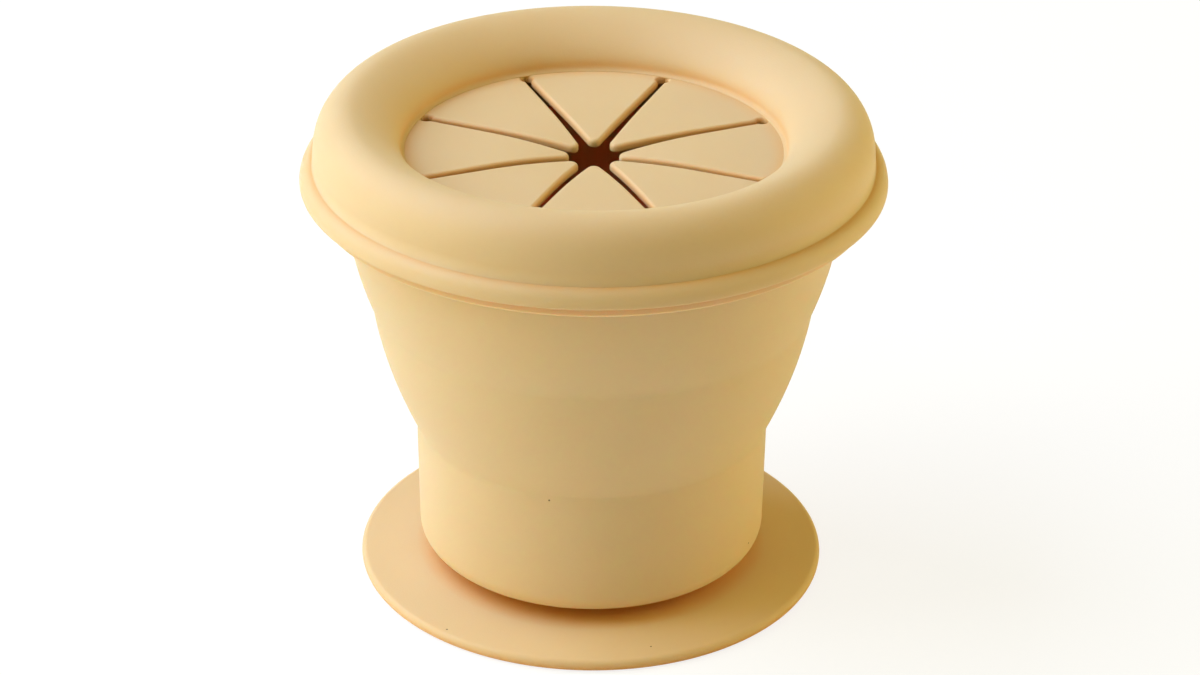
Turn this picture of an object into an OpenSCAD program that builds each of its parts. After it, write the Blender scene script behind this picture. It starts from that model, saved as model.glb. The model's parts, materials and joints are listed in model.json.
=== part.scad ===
// Toddler snack container: a collapsible silicone cup on a suction foot, with a soft lid
// whose eight flaps bend around a small hand.
// Millimetres. The origin is on the table at the centre of the foot, +Z up.
// One flap points along each of +X, -X, +Y and -Y, and the other four lie between them.

/* [Suction foot] */
// Outer radius of the foot disc
foot_r = 45; // [44.5:0.1:52]
// Thickness of the disc at its rim
foot_edge_t = 2.2; // [1.8:0.1:2.6]
// Height that the disc's top gains from its rim to the neck
foot_rise = 0.8; // [0.3:0.1:1]
// Height of the hollow under the disc, at its centre
suction_h = 1.1; // [0.4:0.1:1.4]
// Width of the flat ring that touches the table
seal_w = 3.5; // [2:0.5:8]
// Radius of the neck that carries the cup
neck_r = 21; // [14:0.5:24]
// Fillet between the disc and the neck
neck_fillet = 1; // [0.4:0.1:1.2]

/* [Cup] */
// Height of the cup's underside above the table
cup_lift = 5; // [4.6:0.1:7]
// Outer radius of the bottom tier near its foot
base_tier_r = 33.4; // [32:0.1:34]
// Height of the bottom tier
base_tier_h = 26; // [22:0.5:30]
// Radius of the rounded lower corner of the cup
base_corner = 3.9; // [2.5:0.1:6]
// Outer radius at the lower fold line
lower_fold_r = 33.8; // [33.5:0.1:35.5]
// Height of the band that folds inside out
fold_band_h = 25.7; // [22:0.1:28]
// How far the band bulges outside the straight line between its folds
band_bulge = 1.1; // [0:0.1:2]
// Outer radius at the upper fold line
upper_fold_r = 42; // [41.5:0.1:43.5]
// Height of the top tier, from the upper fold line to the rim
rim_tier_h = 22.4; // [20:0.1:26]
// How far the top tier bulges outside the straight line up to the rim
rim_tier_bulge = 1; // [0:0.1:1.4]
// How far the rim stands out from the wall under it
rim_overhang = 6.1; // [5:0.1:7]
// Wall of the tiers
wall = 2; // [1.6:0.1:2.4]
// Wall left at the two fold lines
fold_wall = 1.2; // [0.8:0.1:1.5]
// Height over which the wall thins to a fold line
fold_thinning_h = 2.4; // [1.5:0.1:4]
// Thickness of the cup's floor
floor_t = 2.2; // [1.6:0.1:3]

/* [Cup rim] */
// Outer radius of the rim
rim_r = 53; // [52:0.1:56]
// Thickness of the rim
rim_t = 3.2; // [2.6:0.1:4]
// Rounding of the rim's edges
rim_round = 0.5; // [0.3:0.1:1.2]

/* [Lid] */
// Clearance between the lid and the cup
fit_gap = 0.3; // [0.3:0.05:0.4]
// Thickness of the lid's lip
lip_t = 1.7; // [1.4:0.1:2.5]
// How far the lip reaches down over the rim
lip_overlap = 0.8; // [0.5:0.1:1.6]
// Height of the rounded bead above the lip
bead_h = 3.15; // [2.4:0.05:3.5]
// How far the lip stands out from the padded ring above it
ring_inset = 2.6; // [2:0.1:3.4]
// Rounding of the lip's lower edge
lip_round = 0.25; // [0.15:0.05:0.5]
// Thickness of the lid's wall
lid_wall = 2.7; // [2:0.1:3]
// Width of the padded ring from its outside to its crown
ring_outer_w = 6.6; // [5.5:0.1:7.5]
// Width of the padded ring from its crown to the opening inside it
ring_inner_w = 9.6; // [8:0.1:11]
// Height of the ring's crown above the cup's rim
ring_h = 13.6; // [11.5:0.1:15]
// Fillet between the ring and the flaps
well_fillet = 1.1; // [0.4:0.1:1.4]
// Height of the flaps' upper face above the cup's rim
flap_h = 4.6; // [4:0.1:5.4]
// How far the plug reaches down into the mouth
plug_h = 6; // [4:0.5:9]
// Thickness of the plug
plug_t = 1.9; // [1.4:0.1:2.4]

/* [Flaps] */
// Thickness of the flaps
flap_t = 1.6; // [1.2:0.1:2]
// Distance from the padded ring to the middle of the round slit ends
slit_end_inset = 1.8; // [1.3:0.1:3]
// Diameter of the round hole that ends each slit
slit_end_d = 2.3; // [1.8:0.1:2.6]
// Width of a slit at its round end, from where it widens towards the middle
slit_w = 1.15; // [0.5:0.05:1.4]
// Distance from the lid's centre line to the flaps' tips
tip_r = 4.7; // [4.4:0.1:6]
// Radius of the flaps' rounded tips
tip_round = 1.3; // [1:0.1:1.6]
// How far the tips sag below the roots
tip_sag = 0.9; // [0:0.1:2.5]
// Distance from the centre at which the sag begins
sag_start_r = 20; // [14:1:26]
// Running gap round the root of each flap
hinge_gap = 0.3; // [0.2:0.05:0.35]

/* [Hidden] */

$fn = 96;
flap_count = 8;
flap_step = 360 / flap_count;
butter = [0.93, 0.80, 0.56];
butter_shade = [0.86, 0.71, 0.46];
butter_light = [0.96, 0.85, 0.62];
curve_steps = 12;
corner_steps = 6;

// Heights of the cup
lower_fold_z = cup_lift + base_tier_h;
upper_fold_z = lower_fold_z + fold_band_h;
rim_under_z = upper_fold_z + rim_tier_h;
rim_top_z = rim_under_z + rim_t;
floor_top_z = cup_lift + floor_t;
mouth_r = rim_r - rim_overhang;

// Heights of the lid
seat_z = rim_top_z + fit_gap;
lip_edge_z = rim_top_z - lip_overlap;
bead_z = lip_edge_z + lip_round;
ring_top_z = rim_top_z + ring_h;
flap_top_z = rim_top_z + flap_h;

// Radii of the lid
lip_inner_r = rim_r + fit_gap;
lip_r = lip_inner_r + lip_t;
ring_r = lip_r - ring_inset;
crown_r = ring_r - ring_outer_w;
well_r = crown_r - ring_inner_w;
slit_end_r = well_r - slit_end_inset;

// How full the ring's two sides are: the share of the height and of the width that stays straight
ring_outer_fullness = [0.6, 0.47];
ring_inner_fullness = [0.45, 0.29];
well_foot_z = flap_top_z + well_fillet;

// Each flap bends about the chord between the holes at its two ends
hinge_x = slit_end_r * cos(flap_step / 2);
hinge_z = flap_top_z - flap_t / 2;
hinge_length = 2 * slit_end_r * sin(flap_step / 2);

function lerp(a, b, t) = a + (b - a) * t;
function reversed(p) = [for (i = [len(p) - 1:-1:0]) p[i]];
function without_first(p) = [for (i = [1:len(p) - 1]) p[i]];

// Points of an arc about c, from angle a0 to a1
function arc(c, r, a0, a1, n = corner_steps) =
  oval(c, [r, r], a0, a1, n);

// Points of an oval arc about c, with its two half widths
function oval(c, half, a0, a1, n = corner_steps) =
  [for (i = [0:n]) let (a = lerp(a0, a1, i / n)) [c[0] + half[0] * cos(a), c[1] + half[1] * sin(a)]];

// A cubic curve between p0 and p3, drawn towards p1 and p2
function cubic(p0, p1, p2, p3, n = curve_steps) =
  [for (i = [0:n]) let (t = i / n, s = 1 - t)
    p0 * s * s * s + p1 * 3 * s * s * t + p2 * 3 * s * t * t + p3 * t * t * t];

// Side of the padded ring: upright at its foot, level at the crown
function ring_side(foot, crown, fullness, n = curve_steps) =
  cubic(
    foot,
    [foot[0], lerp(foot[1], crown[1], fullness[0])],
    [lerp(crown[0], foot[0], fullness[1]), crown[1]],
    crown,
    n
  );

// Outer radius of the cup's wall at height z
function bulged_r(z, z0, r0, z1, r1, bulge) =
  let (t = (z - z0) / (z1 - z0)) lerp(r0, r1, t) + 4 * bulge * t * (1 - t);
function base_tier_outer(z) =
  bulged_r(z, cup_lift, base_tier_r, lower_fold_z, lower_fold_r, 0);
function fold_band_outer(z) =
  bulged_r(z, lower_fold_z, lower_fold_r, upper_fold_z, upper_fold_r, band_bulge);
function rim_tier_outer(z) =
  bulged_r(z, upper_fold_z, upper_fold_r, rim_under_z, mouth_r, rim_tier_bulge);

// Wall thickness at height z: thin at a fold line, full a little way from it
function wall_at(z) =
  let (d = min(abs(z - lower_fold_z), abs(z - upper_fold_z)))
  lerp(fold_wall, wall, min(1, d / fold_thinning_h));

// Heights at which a wall between two levels is drawn, with one where each thinning ends
function wall_levels(z0, z1, low_fold, high_fold, n = curve_steps) =
  let (
    a = low_fold ? z0 + fold_thinning_h : z0,
    b = high_fold ? z1 - fold_thinning_h : z1
  )
  concat(
    low_fold ? [z0] : [],
    [for (i = [0:n]) lerp(a, b, i / n)],
    high_fold ? [z1] : []
  );

// The foot: a disc hollowed underneath, and the neck that the cup stands on
module suction_foot() {
  neck_z = foot_edge_t + foot_rise;
  edge_r = foot_edge_t / 2;
  hollow_r = foot_r - seal_w;
  hollow = [for (i = [0:corner_steps]) let (t = i / corner_steps) [hollow_r * t, suction_h * (1 - t * t)]];
  profile = concat(
    hollow,
    arc([foot_r - edge_r, edge_r], edge_r, -90, 90),
    arc([neck_r + neck_fillet, neck_z + neck_fillet], neck_fillet, 270, 180),
    [[neck_r, cup_lift], [0, cup_lift]]
  );
  color(butter_shade) rotate_extrude() polygon(profile);
}

// Bottom tier: the floor and the upright wall up to the lower fold line
module cup_base_tier() {
  levels = wall_levels(cup_lift + base_corner, lower_fold_z, false, true, 4);
  inner_corner = base_corner - wall;
  inner_r = base_tier_outer(floor_top_z) - wall;
  corner_r = base_tier_outer(cup_lift + base_corner);
  profile = concat(
    [[0, cup_lift]],
    arc([corner_r - base_corner, cup_lift + base_corner], base_corner, -90, 0),
    [for (z = levels) [base_tier_outer(z), z]],
    [for (z = reversed(levels)) [base_tier_outer(z) - wall_at(z), z]],
    arc([inner_r - inner_corner, floor_top_z + inner_corner], inner_corner, 0, -90),
    [[0, floor_top_z]]
  );
  color(butter) rotate_extrude() polygon(profile);
}

// Middle tier: the cone that turns inside out when the cup is pressed flat
module cup_fold_band() {
  levels = wall_levels(lower_fold_z, upper_fold_z - fit_gap, true, true);
  profile = concat(
    [for (z = levels) [fold_band_outer(z), z]],
    [for (z = reversed(levels)) [fold_band_outer(z) - wall_at(z), z]]
  );
  color(butter_light) rotate_extrude() polygon(profile);
}

// Top tier and the rim on which the lid sits
module cup_rim_tier() {
  levels = wall_levels(upper_fold_z, rim_under_z, true, false);
  mouth_inner = mouth_r - wall;
  profile = concat(
    [for (z = levels) [rim_tier_outer(z), z]],
    arc([rim_r - rim_round, rim_under_z + rim_round], rim_round, -90, 0),
    arc([rim_r - rim_round, rim_top_z - rim_round], rim_round, 0, 90),
    arc([mouth_inner + rim_round, rim_top_z - rim_round], rim_round, 90, 180),
    [for (z = reversed(levels)) [rim_tier_outer(z) - wall_at(z), z]]
  );
  color(butter) rotate_extrude() polygon(profile);
}

// Section of the lid: lip, bead, padded ring, the web that carries the flaps, and the plug
module lid_section() {
  crown = [crown_r, ring_top_z];
  cavity_foot_z = seat_z + lid_wall;
  cavity_crown = [crown_r, ring_top_z - lid_wall];
  web_r = hinge_x - flap_t;
  plug_foot_z = rim_top_z - plug_h;
  plug_foot_r = rim_tier_outer(plug_foot_z) - wall - fit_gap;
  plug_top_r = mouth_r - wall - fit_gap;
  plug_round = plug_t / 2;
  profile = concat(
    [[lip_inner_r, seat_z], [lip_inner_r, lip_edge_z]],
    arc([lip_r - lip_round, bead_z], lip_round, -90, 0),
    without_first(oval([ring_r, bead_z], [ring_inset, bead_h], 0, 90)),
    ring_side([ring_r, bead_z + bead_h + lid_wall], crown, ring_outer_fullness),
    without_first(reversed(ring_side([well_r, well_foot_z], crown, ring_inner_fullness))),
    without_first(arc([well_r - well_fillet, well_foot_z], well_fillet, 0, -90)),
    [[web_r, flap_top_z], [web_r, flap_top_z - flap_t]],
    [[well_r + lid_wall, flap_top_z - flap_t]],
    ring_side([well_r + lid_wall, well_foot_z], cavity_crown, ring_inner_fullness),
    without_first(
      reversed(ring_side([ring_r - lid_wall, cavity_foot_z], cavity_crown, ring_outer_fullness))
    ),
    [[plug_top_r - plug_t, cavity_foot_z]],
    arc([plug_foot_r - plug_round, plug_foot_z + plug_round], plug_round, -180, 0),
    [[plug_top_r, seat_z]]
  );
  polygon(profile);
}

// Side view of a flap's rounded root, as a half disc about the hinge line
module root_round(r) {
  back = hinge_x - r;
  polygon(concat([[back, hinge_z - r]], arc([hinge_x, hinge_z], r, -90, 90), [[back, hinge_z + r]]));
}

module lid_ring() {
  color(butter) difference() {
    rotate_extrude() lid_section();
    // The space of the flaps, one side per flap
    rotate([0, 0, flap_step / 2])
      translate([0, 0, hinge_z - flap_t])
        cylinder(r = slit_end_r, h = 2 * flap_t, $fn = flap_count);
    for (i = [0:flap_count - 1])
      rotate([0, 0, i * flap_step]) {
        rotate([90, 0, 0])
          linear_extrude(height = hinge_length, center = true)
            root_round(flap_t / 2 + hinge_gap);
        rotate([0, 0, flap_step / 2])
          translate([slit_end_r, 0, hinge_z - flap_t])
            cylinder(d = slit_end_d, h = 2 * flap_t, $fn = 24);
      }
  }
}

// Height of a flap's upper face at distance x from the lid's centre line
function flap_z(x) =
  flap_top_z - tip_sag * pow(max(0, (sag_start_r - x) / (sag_start_r - tip_r)), 2);

// Side view of a flap, from its sagging tip to its rounded root
module flap_side() {
  stations = [for (i = [0:curve_steps]) lerp(tip_r / 2, sag_start_r, i / curve_steps)];
  upper = concat([for (x = stations) [x, flap_z(x)]], [[hinge_x, flap_top_z]]);
  lower = [for (p = upper) [p[0], p[1] - flap_t]];
  polygon(concat(lower, arc([hinge_x, hinge_z], flap_t / 2, -90, 90), reversed(upper)));
}

// Plan of a flap: a sector whose sides leave the slits free, with a rounded tip
module flap_plan() {
  half = flap_step / 2;
  tip_c = [tip_r + tip_round, 0];
  corner = slit_end_r * [cos(half), sin(half)] + slit_w / 2 * [sin(half), -cos(half)];
  side = corner - tip_c;
  lean = atan2(side[1], side[0]) - asin(tip_round / norm(side));
  root_x = hinge_x + flap_t;
  root_y = corner[1] + (root_x - corner[0]) * tan(lean);
  difference() {
    polygon(concat(arc(tip_c, tip_round, 90 + lean, 270 - lean), [[root_x, -root_y], [root_x, root_y]]));
    for (s = [-1, 1])
      rotate(s * half) translate([slit_end_r, 0])
        circle(d = slit_end_d, $fn = 24);
  }
}

module lid_flap(i) {
  cutter_h = tip_sag + 3 * flap_t;
  color(butter_light) rotate([0, 0, i * flap_step]) intersection() {
    rotate([90, 0, 0])
      linear_extrude(height = 2 * hinge_length, center = true)
        flap_side();
    translate([0, 0, flap_top_z + flap_t - cutter_h])
      linear_extrude(height = cutter_h)
        flap_plan();
  }
}

suction_foot();
cup_base_tier();
cup_fold_band();
cup_rim_tier();
lid_ring();
for (i = [1:flap_count])
  lid_flap(i - 1);
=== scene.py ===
"""Looks of the toddler snack container: a collapsible silicone cup on a suction foot, with a soft lid
whose eight flaps bend around a small hand.

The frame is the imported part's own: origin on the table at the centre of the foot, +Z up. Outlines are
written in millimetres as (radius, height) and become metres when they are made into meshes."""

import json
import math

import bmesh
import bpy
from mathutils import Matrix, Vector


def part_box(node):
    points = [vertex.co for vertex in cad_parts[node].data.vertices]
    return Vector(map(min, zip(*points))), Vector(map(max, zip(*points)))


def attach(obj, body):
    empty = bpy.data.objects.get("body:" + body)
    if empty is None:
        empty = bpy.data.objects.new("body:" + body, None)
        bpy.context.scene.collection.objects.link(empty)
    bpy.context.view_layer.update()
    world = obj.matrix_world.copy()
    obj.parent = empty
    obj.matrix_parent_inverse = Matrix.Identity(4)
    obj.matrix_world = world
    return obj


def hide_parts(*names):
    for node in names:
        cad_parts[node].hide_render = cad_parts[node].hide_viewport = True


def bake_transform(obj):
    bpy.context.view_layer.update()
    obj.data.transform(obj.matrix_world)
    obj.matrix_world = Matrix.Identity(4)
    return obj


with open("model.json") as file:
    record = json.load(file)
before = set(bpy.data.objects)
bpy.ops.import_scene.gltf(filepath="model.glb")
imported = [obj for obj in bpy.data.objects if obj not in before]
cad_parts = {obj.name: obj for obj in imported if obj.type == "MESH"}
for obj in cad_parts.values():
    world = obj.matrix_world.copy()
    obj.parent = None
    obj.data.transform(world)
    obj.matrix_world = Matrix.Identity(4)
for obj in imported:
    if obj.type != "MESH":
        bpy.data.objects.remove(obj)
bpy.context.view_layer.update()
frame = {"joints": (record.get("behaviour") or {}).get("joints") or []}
MM = 0.001


def corners_mm(node):
    """Lowest and highest corner of a solid, in millimetres"""
    low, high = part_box(node)
    return low / MM, high / MM


# Sizes that the solids give, in millimetres
FOOT_R = corners_mm("suction_foot")[1].x
CUP_Z = corners_mm("cup_base_tier")[0].z
LOWER_FOLD_Z = corners_mm("cup_base_tier")[1].z
UPPER_FOLD_Z = corners_mm("cup_rim_tier")[0].z
RIM_R = corners_mm("cup_rim_tier")[1].x
RIM_TOP_Z = corners_mm("cup_rim_tier")[1].z
LIP_R = corners_mm("lid_ring")[1].x
CROWN_Z = corners_mm("lid_ring")[1].z
PLUG_Z = corners_mm("lid_ring")[0].z
TIP_R = corners_mm("lid_flap_1")[0].x
FLAP_TOP_Z = corners_mm("lid_flap_1")[1].z

# The flaps' hinge lines, and the round holes that end the slits between them
FLAPS = 8
HALF_STEP = math.pi / FLAPS
HINGE = {j["child"]: Vector(j["pos_m"]) / MM for j in frame["joints"] if j["type"] == "hinge"}
HINGE_X = HINGE["lid_flap_1"].x
SLIT_END_R = HINGE_X / math.cos(HALF_STEP)

# Sizes of the foot
FOOT_EDGE_T = 2.2
FOOT_RISE = 0.8
SUCTION_H = 1.1
SEAL_W = 3.5
NECK_R = 21
NECK_FILLET = 1

# Sizes of the cup
TIER_R = 33.4
CORNER_R = 3.9
LOWER_FOLD_R = 33.8
BAND_BULGE = 1.1
UPPER_FOLD_R = 42
RIM_T = 3.2
RIM_OVERHANG = 6.1
RIM_BULGE = 1
RIM_ROUND = 0.5
WALL = 2
FOLD_WALL = 1.2
FOLD_THINNING = 2.4
FOLD_SOFTENING = 0.5
FLOOR_T = 2.2
RIM_UNDER_Z = RIM_TOP_Z - RIM_T
MOUTH_R = RIM_R - RIM_OVERHANG

# Sizes of the lid
FIT_GAP = 0.3
LIP_OVERLAP = 0.8
LIP_ROUND = 0.25
BEAD_H = 3.15
RING_INSET = 2.6
RING_OUTER_W = 6.6
RING_INNER_W = 9.6
OUTER_FULLNESS = (0.6, 0.47)
INNER_FULLNESS = (0.45, 0.29)
LID_WALL = 2.7
WELL_FILLET = 1.1
PLUG_T = 1.9
RING_R = LIP_R - RING_INSET
CROWN_R = RING_R - RING_OUTER_W
WELL_R = CROWN_R - RING_INNER_W

# The web that holds the flaps: its inner edge, its heel and how far it reaches below the flaps
WEB_EDGE_R = WELL_R - 0.4
WEB_EDGE_H = 1
WEB_HEEL_R = WELL_R + 0.5
WEB_DEPTH = 0.1

# Sizes of the flaps
FLAP_T = 1.6
SLIT_HOLE_R = 1.15
SLIT_W = 1.15
TIP_ROUND = 1.3
SAG_START_R = 20
FLAP_EDGE = 0.85
FLAP_UNDER_EDGE = 0.3
ROOT_MARGIN = 0.8

# Where a flap bends, measured from its hinge line, and how far apart its rows of points are
BEND_INWARD = 4
BEND_ROWS_OUTWARD = 1.5
BEND_ROW_STEP = 0.5
FIRST_ROW_INSET = 0.4
SAG_ROW_STEP = 1.2
PLAIN_ROW_STEP = 2

# How far each flap's tip sags below its root, counted from +X towards +Y
TIP_SAGS = (1.15, 0.6, 0.4, 0.9, 1.15, 1.1, 1.15, 0.95)

# The silicone's butter yellow, the deeper yellow that clouds it, and the warm rim of its dry skin
BUTTER = (0.79, 0.59, 0.345, 1)
BUTTER_DEEP = (0.74, 0.54, 0.3, 1)
DRY_RIM = (1.0, 0.82, 0.45, 1)

# Painted crevice shade: the deep orange that the silicone's colour is mixed towards where ambient occlusion
# finds walls of silicone a few millimetres apart, standing in for the richer colour that light takes on
# there
PAINTED_CREVICE_SHADE = (0.78, 0.33, 0.05, 1)
PAINTED_SHADE_REACH = 0.004

# The silicone's surface: noise scales and cells are per metre, depths in metres
ROUGHNESS_RANGE = (0.5, 0.6)
SILICONE_IOR = 1.41
SHEEN = 0.2
SHEEN_ROUGHNESS = 0.4
TOOTH_SCALE = 2600
TOOTH_STRENGTH = 0.12
TOOTH_DEPTH = 0.0002
CLOUD_SCALE = 38
LINT = (0.16, 0.09, 0.04, 1)
LINT_CELLS = 260
LINT_SIZE = 0.06
LINT_WOBBLE_SCALE = 1500
LINT_WOBBLE = 0.0004

# The floor: its radius in metres, how pale it is to the light, and how its shadow is softened to the eye
FLOOR_R = 4
FLOOR_GREY = 0.86
FLOOR_SEEN_GREY = 0.24
FLOOR_SEEN_GLOW = 0.8

# The dome of soft light
DOME_COLOUR = (1.0, 0.92, 0.28, 1)
DOME_STRENGTH = 0.2

# How finely the forms are made, and how near two points must be to count as one, in millimetres
TURN_STEPS = 224
HOLLOW_STEPS = 16
TIER_STEP = 1
BAND_STEP = 0.5
WELD = 0.001
SNAP = 0.0001
SLACK = 0.01

# The photograph's view
PHOTO_W = 1200
LENS_PIXELS = 3778
CAMERA_PLACE = Vector((0, -638.7, 386.9)) * MM
CAMERA_PITCH = math.radians(28.02)
CAMERA_YAW = math.radians(0.128)
CAMERA_ROLL = math.radians(-0.53)
CAMERA_NEAR = 0.01


def make_camera():
    """The photograph's camera: its place, its tilt and its lens"""
    data = bpy.data.cameras.new("camera")
    data.lens = LENS_PIXELS / PHOTO_W * data.sensor_width
    data.clip_start = CAMERA_NEAR
    camera = bpy.data.objects.new("camera", data)
    bpy.context.scene.collection.objects.link(camera)
    turn = (
        Matrix.Rotation(-CAMERA_YAW, 4, "Z")
        @ Matrix.Rotation(math.pi / 2 - CAMERA_PITCH, 4, "X")
        @ Matrix.Rotation(-CAMERA_ROLL, 4, "Z")
    )
    camera.matrix_world = Matrix.Translation(CAMERA_PLACE) @ turn
    bpy.context.scene.camera = camera


def oval(centre, half, start, end, steps=8):
    """Points of an oval arc about a centre, between two angles in degrees"""
    points = []
    for i in range(steps + 1):
        a = math.radians(start + (end - start) * i / steps)
        points.append((centre[0] + half[0] * math.cos(a), centre[1] + half[1] * math.sin(a)))
    return points


def arc(centre, radius, start, end, steps=8):
    """Points of a round arc"""
    return oval(centre, (radius, radius), start, end, steps)


def padded_side(foot, crown, fullness, steps=24):
    """A side of the padded ring, from its upright foot to its level crown"""
    shoulder = (foot[0], foot[1] + (crown[1] - foot[1]) * fullness[0])
    brow = (crown[0] + (foot[0] - crown[0]) * fullness[1], crown[1])
    points = []
    for i in range(steps + 1):
        t = i / steps
        s = 1 - t
        weights = (s ** 3, 3 * s * s * t, 3 * s * t * t, t ** 3)
        stations = (foot, shoulder, brow, crown)
        points.append(tuple(sum(w * p[k] for w, p in zip(weights, stations)) for k in (0, 1)))
    return points


def levels(low, high, step):
    """Heights from low to high, evenly spaced and no further apart than step"""
    count = max(1, math.ceil((high - low) / step))
    return [low + (high - low) * i / count for i in range(count + 1)]


def bulged(z, low, high, bulge):
    """Radius at height z on a wall between two (radius, height) ends"""
    t = (z - low[1]) / (high[1] - low[1])
    return low[0] + (high[0] - low[0]) * t + 4 * bulge * t * (1 - t)


def creased_r(z):
    """Outer radius of the cup's wall, with hard creases at its two folds"""
    lower = (LOWER_FOLD_R, LOWER_FOLD_Z)
    upper = (UPPER_FOLD_R, UPPER_FOLD_Z)
    if z < LOWER_FOLD_Z:
        return bulged(z, (TIER_R, CUP_Z), lower, 0)
    if z < UPPER_FOLD_Z:
        return bulged(z, lower, upper, BAND_BULGE)
    return bulged(z, upper, (MOUTH_R, RIM_UNDER_Z), RIM_BULGE)


def wall_r(z, taps=4):
    """Outer radius of the cup's wall, with its creases softened as a mould leaves them"""
    spread = [creased_r(z + FOLD_SOFTENING * i / taps) for i in range(-taps, taps + 1)]
    return sum(spread) / len(spread)


def wall_t(z):
    """Thickness of the cup's wall, which is thin where it folds"""
    near = min(abs(z - LOWER_FOLD_Z), abs(z - UPPER_FOLD_Z)) / FOLD_THINNING
    t = min(1, near)
    return FOLD_WALL + (WALL - FOLD_WALL) * t * t * (3 - 2 * t)


def turned(profile, closed):
    """Mesh made by turning an outline once around the centre line"""
    bm = bmesh.new()
    verts = [bm.verts.new((r * MM, 0, z * MM)) for r, z in profile]
    edges = [bm.edges.new(pair) for pair in zip(verts, verts[1:])]
    if closed:
        edges.append(bm.edges.new((verts[-1], verts[0])))
    bmesh.ops.spin(
        bm,
        geom=verts + edges,
        cent=(0, 0, 0),
        axis=(0, 0, 1),
        angle=math.tau,
        steps=TURN_STEPS,
        use_merge=True,
    )
    bmesh.ops.remove_doubles(bm, verts=bm.verts, dist=WELD * MM)
    bmesh.ops.recalc_face_normals(bm, faces=bm.faces)
    return bm


def make_piece(name, bm, finish):
    """A smooth object with its finish, made of a finished mesh"""
    mesh = bpy.data.meshes.new(name)
    bm.to_mesh(mesh)
    bm.free()
    mesh.shade_smooth()
    mesh.materials.append(finish)
    obj = bpy.data.objects.new(name, mesh)
    bpy.context.scene.collection.objects.link(obj)
    return obj


def make_foot(finish):
    """The suction foot: a thin disc hollowed underneath, with a round edge and a short neck"""
    edge_r = FOOT_EDGE_T / 2
    neck_foot_z = FOOT_EDGE_T + FOOT_RISE
    neck_top_z = CUP_Z + FLOOR_T / 2
    hollow_r = FOOT_R - SEAL_W
    shares = [i / HOLLOW_STEPS for i in range(HOLLOW_STEPS + 1)]
    profile = [(hollow_r * t, SUCTION_H * (1 - t ** 2)) for t in shares]
    profile += arc((FOOT_R - edge_r, edge_r), edge_r, -90, 90, steps=14)
    profile += arc((NECK_R + NECK_FILLET, neck_foot_z + NECK_FILLET), NECK_FILLET, 270, 180, steps=6)
    profile += [(NECK_R, neck_top_z), (0, neck_top_z)]
    foot = make_piece("foot_disc", turned(profile, closed=False), finish)
    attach(foot, "base")
    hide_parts("suction_foot")


def make_cup(finish):
    """The cup: one moulding from its floor to its rim, with its wall thinned along its two fold creases"""
    floor_z = CUP_Z + FLOOR_T
    corner_z = CUP_Z + CORNER_R
    inner_corner = CORNER_R - WALL
    corner_x = wall_r(corner_z) - CORNER_R
    inner_x = wall_r(floor_z + inner_corner) - WALL - inner_corner
    heights = levels(corner_z, LOWER_FOLD_Z, TIER_STEP)
    heights += levels(LOWER_FOLD_Z, UPPER_FOLD_Z, BAND_STEP)[1:]
    heights += levels(UPPER_FOLD_Z, RIM_UNDER_Z, TIER_STEP)[1:]
    mouth_inner = MOUTH_R - WALL
    profile = [(0, CUP_Z)]
    profile += arc((corner_x, corner_z), CORNER_R, -90, 0, steps=10)[:-1]
    profile += [(wall_r(z), z) for z in heights]
    profile += arc((RIM_R - RIM_ROUND, RIM_UNDER_Z + RIM_ROUND), RIM_ROUND, -90, 0)
    profile += arc((RIM_R - RIM_ROUND, RIM_TOP_Z - RIM_ROUND), RIM_ROUND, 0, 90)
    profile += arc((mouth_inner + RIM_ROUND, RIM_TOP_Z - RIM_ROUND), RIM_ROUND, 90, 180)
    inside = [z for z in reversed(heights) if z > floor_z + inner_corner]
    profile += [(wall_r(z) - wall_t(z), z) for z in inside]
    profile += arc((inner_x, floor_z + inner_corner), inner_corner, 0, -90, steps=6)
    profile += [(0, floor_z)]
    cup = make_piece("folding_cup", turned(profile, closed=False), finish)
    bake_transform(cup)
    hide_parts("cup_base_tier", "cup_fold_band", "cup_rim_tier")


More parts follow.
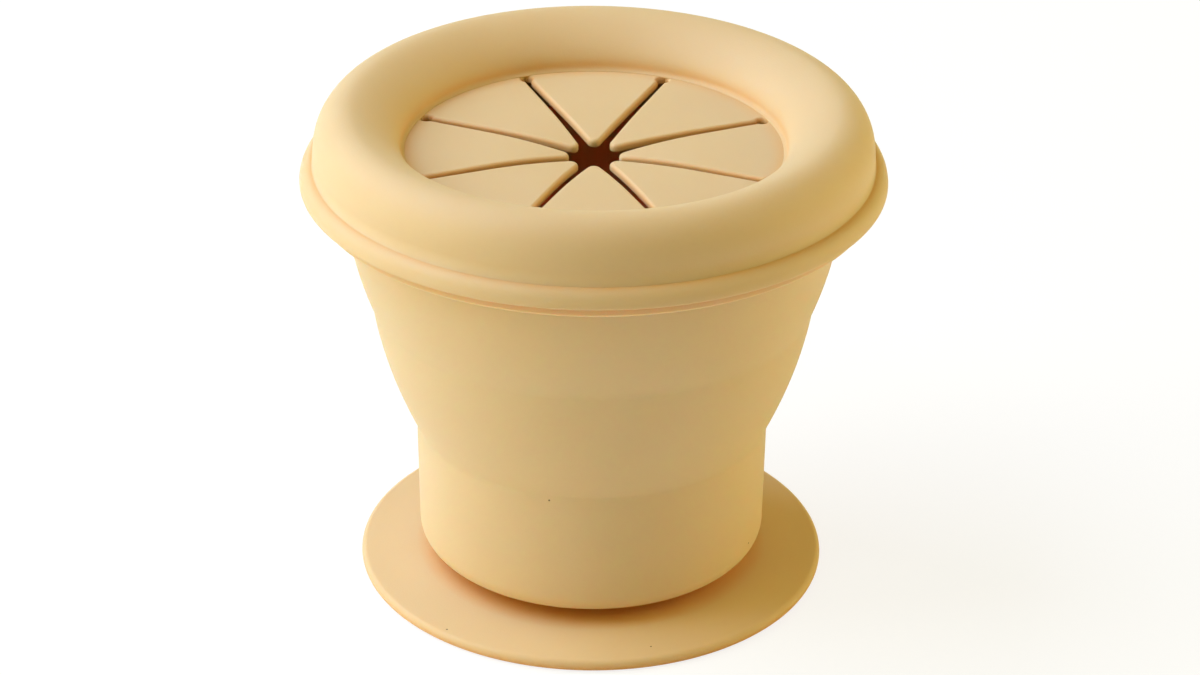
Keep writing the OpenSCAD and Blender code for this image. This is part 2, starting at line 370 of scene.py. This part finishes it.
def make_padded_lid(finish):
    """The lid without its flaps: lip, bead, hollow padded ring, and the plug that sits in the cup's mouth"""
    seat_z = RIM_TOP_Z + FIT_GAP
    lip_edge_z = RIM_TOP_Z - LIP_OVERLAP
    bead_z = lip_edge_z + LIP_ROUND
    bead_top_z = bead_z + BEAD_H
    well_foot_z = FLAP_TOP_Z + WELL_FILLET
    web_under_z = FLAP_TOP_Z - FLAP_T - WEB_DEPTH
    crown = (CROWN_R, CROWN_Z)
    cavity_crown = (CROWN_R, CROWN_Z - LID_WALL)
    cavity_foot_z = seat_z + LID_WALL
    hollow_r = WELL_R + LID_WALL
    plug_r = MOUTH_R - WALL - FIT_GAP
    plug_foot_r = wall_r(PLUG_Z) - WALL - FIT_GAP
    profile = [(RIM_R + FIT_GAP, seat_z), (RIM_R + FIT_GAP, lip_edge_z + LIP_ROUND / 2)]
    profile += arc((LIP_R - LIP_ROUND, bead_z), LIP_ROUND, -110, 0)
    profile += oval((RING_R, bead_z), (RING_INSET, BEAD_H), 0, 86, steps=16)[1:]
    profile += padded_side((RING_R, bead_top_z + LID_WALL), crown, OUTER_FULLNESS)
    profile += padded_side((WELL_R, well_foot_z), crown, INNER_FULLNESS)[::-1][1:]
    profile += arc((WELL_R - WELL_FILLET, well_foot_z), WELL_FILLET, 0, -75, steps=6)[1:]
    profile += [(WEB_EDGE_R, web_under_z + WEB_EDGE_H), (WEB_HEEL_R, web_under_z), (hollow_r, web_under_z)]
    profile += padded_side((hollow_r, well_foot_z), cavity_crown, INNER_FULLNESS, steps=12)
    cavity_outer = padded_side((RING_R - LID_WALL, cavity_foot_z), cavity_crown, OUTER_FULLNESS, steps=12)
    profile += cavity_outer[::-1][1:]
    profile += [(plug_r - PLUG_T, cavity_foot_z)]
    profile += arc((plug_foot_r - PLUG_T / 2, PLUG_Z + PLUG_T / 2), PLUG_T / 2, -180, 0, steps=10)
    profile += [(plug_r, seat_z)]
    ring = make_piece("padded_lid", turned(profile, closed=True), finish)
    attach(ring, "lid")
    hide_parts("lid_ring")


def flap_side_outline():
    """Half of a flap's plan, from its tip to the margin that the padded ring hides"""
    tip = Vector((TIP_R + TIP_ROUND, 0))
    hole = Vector((math.cos(HALF_STEP), math.sin(HALF_STEP))) * SLIT_END_R
    inward = Vector((math.sin(HALF_STEP), -math.cos(HALF_STEP)))
    side = hole + inward * SLIT_W / 2 - tip
    lean = math.atan2(side.y, side.x) - math.asin(TIP_ROUND / side.length)
    along = Vector((math.cos(lean), math.sin(lean)))
    tangent = tip + Vector((-along.y, along.x)) * TIP_ROUND
    to_hole = hole - tangent
    reach = to_hole.dot(along)
    miss = (to_hole - along * reach).length
    entry = tangent + along * (reach - math.sqrt(SLIT_HOLE_R ** 2 - miss ** 2))
    entry_angle = math.degrees(math.atan2(entry.y - hole.y, entry.x - hole.x))
    margin_r = WELL_R + ROOT_MARGIN
    half_degrees = math.degrees(HALF_STEP)
    points = arc(tip, TIP_ROUND, 180, 90 + math.degrees(lean), steps=6)
    points += arc(hole, SLIT_HOLE_R, entry_angle, half_degrees, steps=7)
    points += arc((0, 0), margin_r, half_degrees, 0)
    return points


def flap_mesh():
    """Mesh of the flap that points along +X: rounded edges, and rows where it bends"""
    half = flap_side_outline()
    outline = half + [(x, -y) for x, y in half[-2:0:-1]]
    bm = bmesh.new()
    verts = [bm.verts.new((x * MM, y * MM, FLAP_TOP_Z * MM)) for x, y in outline]
    top = bm.faces.new(verts)
    grown = bmesh.ops.extrude_face_region(bm, geom=[top], use_keep_orig=True)
    under = [g for g in grown["geom"] if isinstance(g, bmesh.types.BMVert)]
    bmesh.ops.translate(bm, verts=under, vec=(0, 0, -FLAP_T * MM))
    bmesh.ops.recalc_face_normals(bm, faces=bm.faces)
    free_r = (SLIT_END_R + SLIT_HOLE_R + SLACK) * MM
    middle_z = (FLAP_TOP_Z - FLAP_T / 2) * MM
    for above, width, segments in ((True, FLAP_EDGE, 4), (False, FLAP_UNDER_EDGE, 2)):
        rim = [
            e for e in bm.edges
            if all((v.co.z > middle_z) == above and v.co.xy.length < free_r for v in e.verts)
        ]
        bmesh.ops.bevel(
            bm,
            geom=rim,
            offset=width * MM,
            offset_type="OFFSET",
            affect="EDGES",
            segments=segments,
            profile=0.5,
            material=-1,
            clamp_overlap=True,
        )
    bend_x = HINGE_X - BEND_INWARD
    rows = levels(TIP_R + FIRST_ROW_INSET, SAG_START_R, SAG_ROW_STEP)
    rows += levels(SAG_START_R, bend_x - BEND_ROW_STEP, PLAIN_ROW_STEP)[1:]
    rows += levels(bend_x, HINGE_X + BEND_ROWS_OUTWARD, BEND_ROW_STEP)
    for x in rows:
        everything = bm.verts[:] + bm.edges[:] + bm.faces[:]
        bmesh.ops.bisect_plane(
            bm,
            geom=everything,
            plane_co=(x * MM, 0, 0),
            plane_no=(1, 0, 0),
            dist=SNAP * MM,
        )
    return bm


def make_flaps(finish):
    """The eight flaps, each sagging towards its tip, with rows of points where it would bend as it leaves
    the padded ring
    """
    pattern = flap_mesh()
    for i, tip_sag in enumerate(TIP_SAGS):
        turn = Matrix.Rotation(i * 2 * HALF_STEP, 4, "Z")
        bm = pattern.copy()
        for v in bm.verts:
            droop = max(0, (SAG_START_R - v.co.x / MM) / (SAG_START_R - TIP_R))
            v.co.z -= tip_sag * droop ** 2 * MM
        bmesh.ops.transform(bm, matrix=turn, verts=bm.verts)
        body = f"lid_flap_{i + 1}"
        flap = make_piece(f"flap_{i + 1}", bm, finish)
        even = flap.modifiers.new("even_shading", "WEIGHTED_NORMAL")
        even.weight = 100
        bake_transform(flap)
        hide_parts(body)
    pattern.free()


def new_group(name, inputs, outputs):
    """An empty shader group with its named sockets, and its two end nodes"""
    group = bpy.data.node_groups.new(name, "ShaderNodeTree")
    for label, kind, value in inputs:
        socket = group.interface.new_socket(name=label, in_out="INPUT", socket_type=kind)
        if value is not None:
            socket.default_value = value
    for label, kind in outputs:
        group.interface.new_socket(name=label, in_out="OUTPUT", socket_type=kind)
    return group, group.nodes.new("NodeGroupInput"), group.nodes.new("NodeGroupOutput")


def make_tooth_group():
    """The dry tooth that a matte mould leaves on silicone, and the faint cloudiness of its pigment"""
    group, start, end = new_group(
        "moulded_tooth",
        [("Vector", "NodeSocketVector", None), ("Fineness", "NodeSocketFloat", TOOTH_SCALE)],
        [("Height", "NodeSocketFloat"), ("Cloud", "NodeSocketFloat")],
    )
    nodes, links = group.nodes, group.links
    tooth = nodes.new("ShaderNodeTexNoise")
    tooth.inputs["Detail"].default_value = 3
    tooth.inputs["Roughness"].default_value = 0.6
    cloud = nodes.new("ShaderNodeTexNoise")
    cloud.inputs["Scale"].default_value = CLOUD_SCALE
    cloud.inputs["Detail"].default_value = 2
    links.new(start.outputs["Vector"], tooth.inputs["Vector"])
    links.new(start.outputs["Fineness"], tooth.inputs["Scale"])
    links.new(start.outputs["Vector"], cloud.inputs["Vector"])
    links.new(tooth.outputs["Fac"], end.inputs["Height"])
    links.new(cloud.outputs["Fac"], end.inputs["Cloud"])
    return group


def make_lint_group():
    """Sparse specks of dust and lint that cling to soft silicone"""
    group, start, end = new_group(
        "clinging_lint",
        [
            ("Vector", "NodeSocketVector", None),
            ("Cells", "NodeSocketFloat", LINT_CELLS),
            ("Share", "NodeSocketFloat", None),
            ("Size", "NodeSocketFloat", LINT_SIZE),
        ],
        [("Mask", "NodeSocketFloat")],
    )
    nodes, links = group.nodes, group.links
    wobble = nodes.new("ShaderNodeTexNoise")
    wobble.inputs["Scale"].default_value = LINT_WOBBLE_SCALE
    push = nodes.new("ShaderNodeVectorMath")
    push.operation = "MULTIPLY_ADD"
    push.inputs[1].default_value = (LINT_WOBBLE, LINT_WOBBLE, LINT_WOBBLE)
    cells = nodes.new("ShaderNodeTexVoronoi")
    near = nodes.new("ShaderNodeMath")
    near.operation = "LESS_THAN"
    split = nodes.new("ShaderNodeSeparateColor")
    chosen = nodes.new("ShaderNodeMath")
    chosen.operation = "LESS_THAN"
    both = nodes.new("ShaderNodeMath")
    both.operation = "MULTIPLY"
    links.new(start.outputs["Vector"], wobble.inputs["Vector"])
    links.new(wobble.outputs["Color"], push.inputs[0])
    links.new(start.outputs["Vector"], push.inputs[2])
    links.new(push.outputs["Vector"], cells.inputs["Vector"])
    links.new(start.outputs["Cells"], cells.inputs["Scale"])
    links.new(cells.outputs["Distance"], near.inputs[0])
    links.new(start.outputs["Size"], near.inputs[1])
    links.new(cells.outputs["Color"], split.inputs["Color"])
    links.new(split.outputs["Red"], chosen.inputs[0])
    links.new(start.outputs["Share"], chosen.inputs[1])
    links.new(near.outputs["Value"], both.inputs[0])
    links.new(chosen.outputs["Value"], both.inputs[1])
    links.new(both.outputs["Value"], end.inputs["Mask"])
    return group


def mixed(nodes, links, factor, low, high):
    """A colour mix, by a factor socket, of two colours or colour sockets"""
    mix = nodes.new("ShaderNodeMix")
    mix.data_type = "RGBA"
    links.new(factor, mix.inputs["Factor"])
    for socket, value in ((mix.inputs[6], low), (mix.inputs[7], high)):
        if isinstance(value, bpy.types.NodeSocket):
            links.new(value, socket)
        else:
            socket.default_value = value
    return mix.outputs[2]


def ranged(nodes, links, value, low, high):
    """A value from 0 to 1 spread between two others"""
    spread = nodes.new("ShaderNodeMapRange")
    spread.inputs["To Min"].default_value = low
    spread.inputs["To Max"].default_value = high
    links.new(value, spread.inputs["Value"])
    return spread.outputs["Result"]


def make_silicone(name, groups, depths, lint_share):
    """Matte silicone with a little lint and painted shade in its creases, which red, green and blue light
    enter to three depths in mm
    """
    material = bpy.data.materials.new(name)
    material.use_nodes = True
    nodes, links = material.node_tree.nodes, material.node_tree.links
    skin = nodes["Principled BSDF"]
    place = nodes.new("ShaderNodeTexCoord")
    tooth = nodes.new("ShaderNodeGroup")
    tooth.node_tree = groups["tooth"]
    lint = nodes.new("ShaderNodeGroup")
    lint.node_tree = groups["lint"]
    lint.inputs["Share"].default_value = lint_share
    for group in (tooth, lint):
        links.new(place.outputs["Object"], group.inputs["Vector"])
    pigment = mixed(nodes, links, tooth.outputs["Cloud"], BUTTER, BUTTER_DEEP)
    # Painted shade: by ambient occlusion, the colour turns deep orange in creases and between parts
    shade_probe = nodes.new("ShaderNodeAmbientOcclusion")
    shade_probe.samples = 8
    shade_probe.inputs["Distance"].default_value = PAINTED_SHADE_REACH
    shaded_pigment = mixed(nodes, links, shade_probe.outputs["AO"], PAINTED_CREVICE_SHADE, pigment)
    colour = mixed(nodes, links, lint.outputs["Mask"], shaded_pigment, LINT)
    links.new(colour, skin.inputs["Base Color"])
    links.new(ranged(nodes, links, tooth.outputs["Cloud"], *ROUGHNESS_RANGE), skin.inputs["Roughness"])
    bump = nodes.new("ShaderNodeBump")
    bump.inputs["Strength"].default_value = TOOTH_STRENGTH
    bump.inputs["Distance"].default_value = TOOTH_DEPTH
    links.new(tooth.outputs["Height"], bump.inputs["Height"])
    links.new(bump.outputs["Normal"], skin.inputs["Normal"])
    skin.inputs["IOR"].default_value = SILICONE_IOR
    skin.inputs["Subsurface Weight"].default_value = 1
    skin.inputs["Subsurface Radius"].default_value = depths
    skin.inputs["Subsurface Scale"].default_value = MM
    skin.inputs["Sheen Weight"].default_value = SHEEN
    skin.inputs["Sheen Roughness"].default_value = SHEEN_ROUGHNESS
    skin.inputs["Sheen Tint"].default_value = DRY_RIM
    return material


def make_floor():
    """A plain pale floor that keeps the object's shadow"""
    bm = bmesh.new()
    bmesh.ops.create_circle(bm, cap_ends=True, segments=96, radius=FLOOR_R)
    mesh = bpy.data.meshes.new("floor")
    bm.to_mesh(mesh)
    bm.free()
    material = bpy.data.materials.new("pale_floor")
    material.use_nodes = True
    nodes, links = material.node_tree.nodes, material.node_tree.links
    nodes.clear()
    matte = nodes.new("ShaderNodeBsdfDiffuse")
    matte.inputs["Color"].default_value = (FLOOR_GREY, FLOOR_GREY, FLOOR_GREY, 1)
    seen = nodes.new("ShaderNodeBsdfDiffuse")
    seen.inputs["Color"].default_value = (FLOOR_SEEN_GREY, FLOOR_SEEN_GREY, FLOOR_SEEN_GREY, 1)
    glow = nodes.new("ShaderNodeEmission")
    glow.inputs["Strength"].default_value = FLOOR_SEEN_GLOW
    lifted = nodes.new("ShaderNodeAddShader")
    rays = nodes.new("ShaderNodeLightPath")
    choice = nodes.new("ShaderNodeMixShader")
    end = nodes.new("ShaderNodeOutputMaterial")
    links.new(seen.outputs["BSDF"], lifted.inputs[0])
    links.new(glow.outputs["Emission"], lifted.inputs[1])
    links.new(rays.outputs["Is Camera Ray"], choice.inputs["Fac"])
    links.new(matte.outputs["BSDF"], choice.inputs[1])
    links.new(lifted.outputs["Shader"], choice.inputs[2])
    links.new(choice.outputs["Shader"], end.inputs["Surface"])
    mesh.materials.append(material)
    floor = bpy.data.objects.new("floor", mesh)
    bpy.context.scene.collection.objects.link(floor)


def make_softbox(name, azimuth, height, size, watts, colour, distance=1.0):
    """A square soft light aimed at the cup, placed by its angle from the front and its height angle"""
    data = bpy.data.lights.new(name, "AREA")
    data.size = size
    data.energy = watts
    data.color = colour
    light = bpy.data.objects.new(name, data)
    bpy.context.scene.collection.objects.link(light)
    a, e = math.radians(azimuth), math.radians(height)
    away = Vector((math.sin(a) * math.cos(e), -math.cos(a) * math.cos(e), math.sin(e)))
    light.location = away * distance + Vector((0, 0, CROWN_Z / 2 * MM))
    light.rotation_mode = "QUATERNION"
    light.rotation_quaternion = away.to_track_quat("Z", "Y")


def make_world():
    """White where the camera sees it, and a soft dome of light for everything else"""
    world = bpy.data.worlds.new("studio")
    bpy.context.scene.world = world
    world.use_nodes = True
    nodes, links = world.node_tree.nodes, world.node_tree.links
    nodes.clear()
    dome = nodes.new("ShaderNodeBackground")
    dome.inputs["Color"].default_value = DOME_COLOUR
    dome.inputs["Strength"].default_value = DOME_STRENGTH
    white = nodes.new("ShaderNodeBackground")
    rays = nodes.new("ShaderNodeLightPath")
    choice = nodes.new("ShaderNodeMixShader")
    end = nodes.new("ShaderNodeOutputWorld")
    white.inputs["Color"].default_value = (1, 1, 1, 1)
    links.new(rays.outputs["Is Camera Ray"], choice.inputs["Fac"])
    links.new(dome.outputs["Background"], choice.inputs[1])
    links.new(white.outputs["Background"], choice.inputs[2])
    links.new(choice.outputs["Shader"], end.inputs["Surface"])


make_camera()
effects = {"tooth": make_tooth_group(), "lint": make_lint_group()}
make_foot(make_silicone("foot_silicone", effects, depths=(0.6, 0.5, 0.4), lint_share=0.02))
make_cup(make_silicone("cup_silicone", effects, depths=(2.2, 1.0, 0.55), lint_share=0.03))
make_padded_lid(make_silicone("lid_silicone", effects, depths=(0.5, 0.4, 0.35), lint_share=0.02))
make_flaps(make_silicone("flap_silicone", effects, depths=(0.5, 0.4, 0.35), lint_share=0.02))
make_floor()
make_softbox("key_light", azimuth=-99, height=46, size=1.0, watts=14.4, colour=(0.67, 0.755, 1.0))
make_softbox("front_light", azimuth=-65, height=20, size=0.8, watts=3.8, colour=(1.0, 0.88, 0.27))
make_softbox("fill_light", azimuth=95, height=20, size=0.8, watts=5.7, colour=(1.0, 0.8, 0.35))
make_world()
bpy.context.scene.view_settings.view_transform = "Standard"
